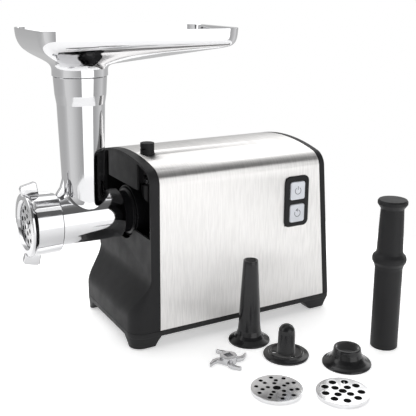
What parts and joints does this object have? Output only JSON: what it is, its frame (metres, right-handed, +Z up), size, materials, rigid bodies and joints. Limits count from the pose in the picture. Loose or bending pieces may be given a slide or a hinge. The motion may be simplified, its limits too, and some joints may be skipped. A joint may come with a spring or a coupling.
{
  "type": "electric meat grinder",
  "caption": "Electric meat grinder with a hopper tray, cutting head, geared motor drive, press buttons and loose sausage, kubbe, knife and plate attachments.",
  "frame": {"origin": "middle of the bounding box of the machine and its loose attachments, at floor level", "axes": "+Z up, the cutting head points to -X, the side with the buttons faces -Y"},
  "size_m": [0.4212, 0.401, 0.395],
  "materials": {
    "front_housing": "satin black",
    "steel_cover": "vertical brushed grain",
    "rear_housing": "satin black",
    "base_tray": "satin black",
    "control_bezel": "satin black",
    "power_button": "pale bluish white",
    "reverse_button": "pale bluish white",
    "lock_knob": "satin black",
    "lock_spring": "bright wire",
    "head_socket": "satin black",
    "gearbox_case": "die cast",
    "output_bearing": "sintered",
    "gear_one": "natural nylon",
    "gear_two": "natural nylon",
    "output_gear": "machined",
    "gear_axle_1": "ground",
    "gear_axle_2": "ground",
    "motor_pinion": "machined",
    "motor_shaft": "ground",
    "armature_core": "laminated",
    "commutator": "turned copper",
    "cooling_fan": "moulded",
    "motor_frame": "laminated",
    "field_coil_top": "enamelled copper",
    "field_coil_bottom": "enamelled copper",
    "motor_bracket_front": "die cast",
    "motor_bracket_rear": "die cast",
    "brush_holder_a": "pressed",
    "brush_holder_b": "pressed",
    "motor_saddle_front": "moulded",
    "motor_saddle_rear": "moulded",
    "control_board": "solder mask",
    "power_switch": "moulded",
    "reverse_switch": "moulded",
    "cord_inlet": "moulded",
    "head_casting": "polished, mirror bright",
    "auger": "cast, polished",
    "knife": "ground",
    "grinding_plate": "ground",
    "ring_nut": "polished, mirror bright",
    "hopper_tray": "polished, mirror bright",
    "pusher": "matt black",
    "sausage_tube": "gloss black",
    "kubbe_cone": "gloss black",
    "kubbe_ring": "gloss black",
    "spare_knife": "ground",
    "fine_plate": "ground",
    "coarse_plate": "ground",
    "base_screw_1": "zinc plated",
    "foot_pad_1": "moulded",
    "base_screw_2": "zinc plated",
    "foot_pad_2": "moulded",
    "base_screw_3": "zinc plated",
    "foot_pad_3": "moulded",
    "base_screw_4": "zinc plated",
    "foot_pad_4": "moulded"
  },
  "bodies": {
    "machine": {"front_housing": "front_housing", "steel_cover": "steel_cover", "rear_housing": "rear_housing", "base_tray": "base_tray", "control_bezel": "control_bezel", "lock_spring": "lock_spring", "head_socket": "head_socket", "gearbox_case": "gearbox_case", "output_bearing": "output_bearing", "gear_axle_1": "gear_axle_1", "gear_axle_2": "gear_axle_2", "motor_frame": "motor_frame", "field_coil_top": "field_coil_top", "field_coil_bottom": "field_coil_bottom", "motor_bracket_front": "motor_bracket_front", "motor_bracket_rear": "motor_bracket_rear", "brush_holder_a": "brush_holder_a", "brush_holder_b": "brush_holder_b", "motor_saddle_front": "motor_saddle_front", "motor_saddle_rear": "motor_saddle_rear", "control_board": "control_board", "power_switch": "power_switch", "reverse_switch": "reverse_switch", "cord_inlet": "cord_inlet", "base_screw_1": "base_screw_1", "foot_pad_1": "foot_pad_1", "base_screw_2": "base_screw_2", "foot_pad_2": "foot_pad_2", "base_screw_3": "base_screw_3", "foot_pad_3": "foot_pad_3", "base_screw_4": "base_screw_4", "foot_pad_4": "foot_pad_4"},
    "power_button": {"power_button": "power_button"},
    "reverse_button": {"reverse_button": "reverse_button"},
    "lock_button": {"lock_knob": "lock_knob"},
    "rotor": {"motor_shaft": "motor_shaft", "armature_core": "armature_core", "commutator": "commutator", "cooling_fan": "cooling_fan", "motor_pinion": "motor_pinion"},
    "first_gear": {"gear_one": "gear_one"},
    "second_gear": {"gear_two": "gear_two"},
    "output": {"output_gear": "output_gear", "auger": "auger", "knife": "knife"},
    "head": {"head_casting": "head_casting"},
    "tray": {"hopper_tray": "hopper_tray"},
    "plate": {"grinding_plate": "grinding_plate"},
    "ring_nut": {"ring_nut": "ring_nut"},
    "pusher": {"pusher": "pusher"},
    "sausage_tube": {"sausage_tube": "sausage_tube"},
    "kubbe_cone": {"kubbe_cone": "kubbe_cone"},
    "kubbe_ring": {"kubbe_ring": "kubbe_ring"},
    "spare_knife": {"spare_knife": "spare_knife"},
    "fine_plate": {"fine_plate": "fine_plate"},
    "coarse_plate": {"coarse_plate": "coarse_plate"}
  },
  "joints": [
    {"name": "power_press", "type": "slide", "parent": "machine", "child": "power_button", "axis": [0, 1, 0], "range_m": [0, 0.0025], "stiffness_N_per_m": 400},
    {"name": "reverse_press", "type": "slide", "parent": "machine", "child": "reverse_button", "axis": [0, 1, 0], "range_m": [0, 0.0025], "stiffness_N_per_m": 400},
    {"name": "lock_press", "type": "slide", "parent": "machine", "child": "lock_button", "axis": [0, 0, -1], "range_m": [0, 0.004], "stiffness_N_per_m": 500, "springref_m": -0.001, "deforming": ["lock_spring"]},
    {"name": "auger_turn", "type": "hinge", "parent": "machine", "child": "output", "pos_m": [-0.137, 0.1155, 0.1587], "axis": [1, 0, 0], "continuous": true},
    {"name": "second_gear_turn", "type": "hinge", "parent": "machine", "child": "second_gear", "pos_m": [-0.017, 0.1295, 0.12123], "axis": [1, 0, 0], "continuous": true},
    {"name": "first_gear_turn", "type": "hinge", "parent": "machine", "child": "first_gear", "pos_m": [0.003, 0.10308, 0.10023], "axis": [1, 0, 0], "continuous": true},
    {"name": "rotor_turn", "type": "hinge", "parent": "machine", "child": "rotor", "pos_m": [0.063, 0.1155, 0.075], "axis": [1, 0, 0], "continuous": true},
    {"name": "head_turn", "type": "hinge", "parent": "machine", "child": "head", "pos_m": [-0.077, 0.1155, 0.1587], "axis": [1, 0, 0], "range_deg": [0, 45]},
    {"name": "tray_lift", "type": "slide", "parent": "head", "child": "tray", "axis": [0, 0, 1], "range_m": [0, 0.06]},
    {"name": "plate_advance", "type": "slide", "parent": "head", "child": "plate", "axis": [-1, 0, 0], "range_m": [0, 0.009]},
    {"name": "ring_turn", "type": "hinge", "parent": "plate", "child": "ring_nut", "pos_m": [-0.187, 0.1155, 0.1587], "axis": [-1, 0, 0], "range_deg": [0, 1080]},
    {"name": "pusher_lift", "type": "slide", "parent": "machine", "child": "pusher", "axis": [0, 0, 1], "range_m": [0, 0.08]},
    {"name": "sausage_tube_lift", "type": "slide", "parent": "machine", "child": "sausage_tube", "axis": [0, 0, 1], "range_m": [0, 0.08]},
    {"name": "kubbe_cone_lift", "type": "slide", "parent": "machine", "child": "kubbe_cone", "axis": [0, 0, 1], "range_m": [0, 0.08]},
    {"name": "kubbe_ring_lift", "type": "slide", "parent": "machine", "child": "kubbe_ring", "axis": [0, 0, 1], "range_m": [0, 0.08]},
    {"name": "spare_knife_lift", "type": "slide", "parent": "machine", "child": "spare_knife", "axis": [0, 0, 1], "range_m": [0, 0.08]},
    {"name": "fine_plate_lift", "type": "slide", "parent": "machine", "child": "fine_plate", "axis": [0, 0, 1], "range_m": [0, 0.08]},
    {"name": "coarse_plate_lift", "type": "slide", "parent": "machine", "child": "coarse_plate", "axis": [0, 0, 1], "range_m": [0, 0.08]}
  ],
  "couplings": [
    {"joint": "second_gear_turn", "follows": "auger_turn", "ratio": -3},
    {"joint": "first_gear_turn", "follows": "auger_turn", "ratio": 10.5},
    {"joint": "rotor_turn", "follows": "auger_turn", "ratio": -42},
    {"joint": "plate_advance", "follows": "ring_turn", "m_per_rad": 0.00047746}
  ]
}
